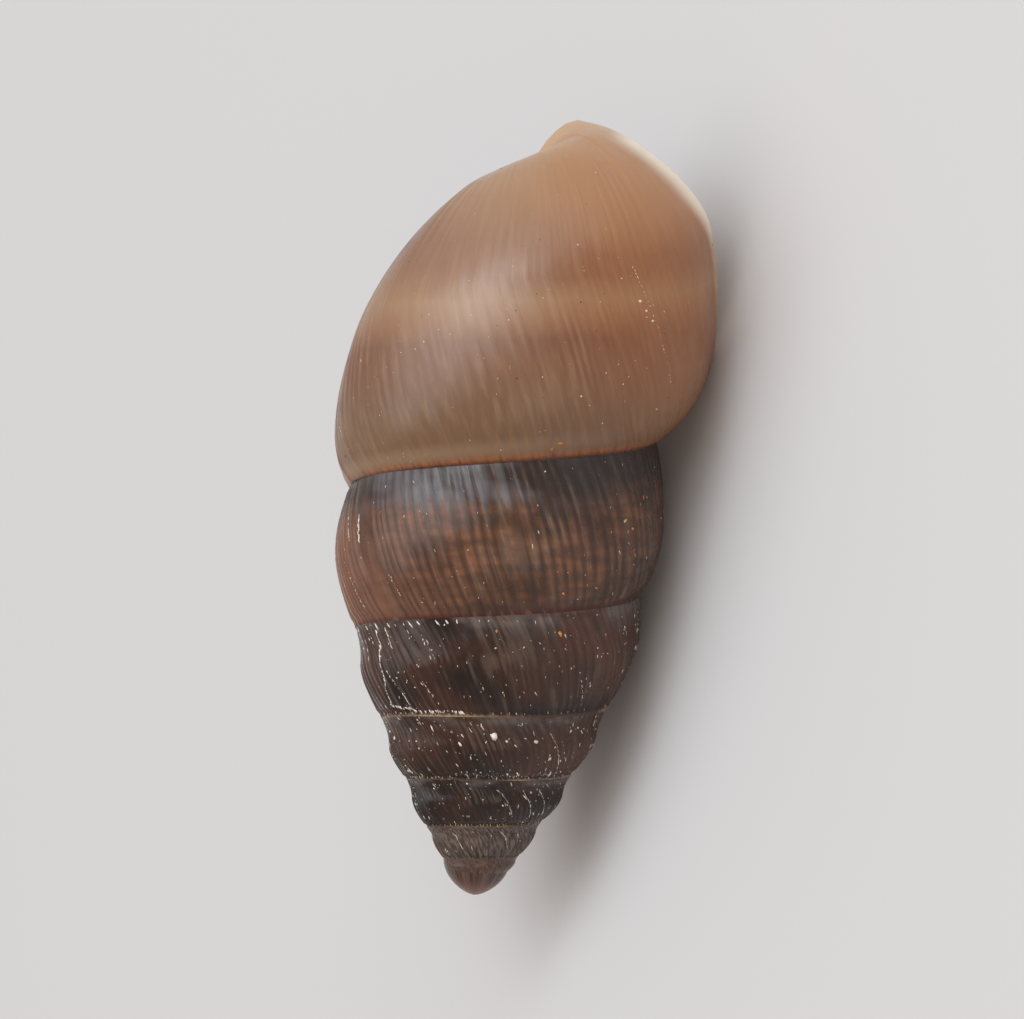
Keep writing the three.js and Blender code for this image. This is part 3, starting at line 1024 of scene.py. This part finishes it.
# Floor: half its side in metres, and its grey.
FLOOR_REACH = 2
FLOOR_GREY = "c5c6c8"
FLOOR_ROUGHNESS = 0.85


def floor_finish():
    f = Finish("floor_finish")
    f.put(f.shader.inputs["Base Color"], colour(FLOOR_GREY))
    f.shader.inputs["Roughness"].default_value = FLOOR_ROUGHNESS
    return f.material


floor_corners = [(-1, -1, 0), (1, -1, 0), (1, 1, 0), (-1, 1, 0)]
floor = mesh_object("floor", np.array(floor_corners, float) * FLOOR_REACH, np.array([range(4)]))
floor.data.materials.append(floor_finish())

# Camera: looks along the shell's front direction, with the tip down in the image.
PHOTO_SCALE = 60.0
PHOTO_WIDTH = 1024
CAMERA_DISTANCE = 97.3
ROLL = math.radians(3.9)
SENSOR = 36.0
CLIP_START = 0.005
AIM = (0.19, 6.414, 0.0)


def to_frame(direction):
    """A direction from the shell's own axes to the frame's."""
    return Vector(AXES @ np.asarray(direction, float))


def frame_point(point):
    """A point from the shell's own millimetres to the frame's metres."""
    return Vector((AXES @ np.asarray(point, float) + SHIFT) / MM_PER_M)


image_right = to_frame((math.cos(ROLL), math.sin(ROLL), 0))
image_up = to_frame((-math.sin(ROLL), math.cos(ROLL), 0))
image_back = to_frame((0, 0, 1))
camera = bpy.data.objects.new("camera", bpy.data.cameras.new("camera"))
camera.matrix_world = Matrix.Translation(
    frame_point((AIM[0], AIM[1], CAMERA_DISTANCE))
) @ Matrix((image_right, image_up, image_back)).transposed().to_4x4()
camera.data.sensor_width = SENSOR
camera.data.lens = SENSOR * CAMERA_DISTANCE / (PHOTO_WIDTH / PHOTO_SCALE)
camera.data.clip_start = CLIP_START
bpy.context.scene.collection.objects.link(camera)
bpy.context.scene.camera = camera

# Soft lights: place by the image's right, up and back in metres, size, power, tint.
LIGHTS = {
    "key": ((-0.15, 0.15, 0.22), 0.3, 0.37, (0.9, 0.96, 1.0)),
    "glow": ((-0.14, 0.19, 0.2), 0.13, 0.13, (0.92, 0.97, 1.0)),
    "side": ((-0.28, 0.03, 0.1), 0.3, 0.28, (0.88, 0.95, 1.0)),
    "sky": ((0.02, 0.25, 0.12), 0.24, 0.14, (0.9, 0.96, 1.0)),
    "bounce": ((0.06, -0.08, 0.25), 0.2, 0.14, (1.0, 0.78, 0.62)),
}
STUDIO_TINT = (1, 0.86, 0.78, 1)
STUDIO_STRENGTH = 0.6

for name, ((right, up, back), size, power, tint) in LIGHTS.items():
    light = bpy.data.lights.new(name, "AREA")
    light.shape = "DISK"
    light.size = size
    light.energy = power
    light.color = tint
    lamp = bpy.data.objects.new(name, light)
    spot = image_right * right + image_up * up + image_back * back
    lamp.location = frame_point(AIM) + spot
    lamp.rotation_mode = "QUATERNION"
    lamp.rotation_quaternion = (-spot).to_track_quat("-Z", "Y")
    bpy.context.scene.collection.objects.link(lamp)

world = bpy.data.worlds.new("studio")
world.use_nodes = True
background = world.node_tree.nodes["Background"]
background.inputs["Color"].default_value = STUDIO_TINT
background.inputs["Strength"].default_value = STUDIO_STRENGTH
bpy.context.scene.world = world
bpy.context.scene.view_settings.view_transform = "Standard"

bpy.context.view_layer.update()
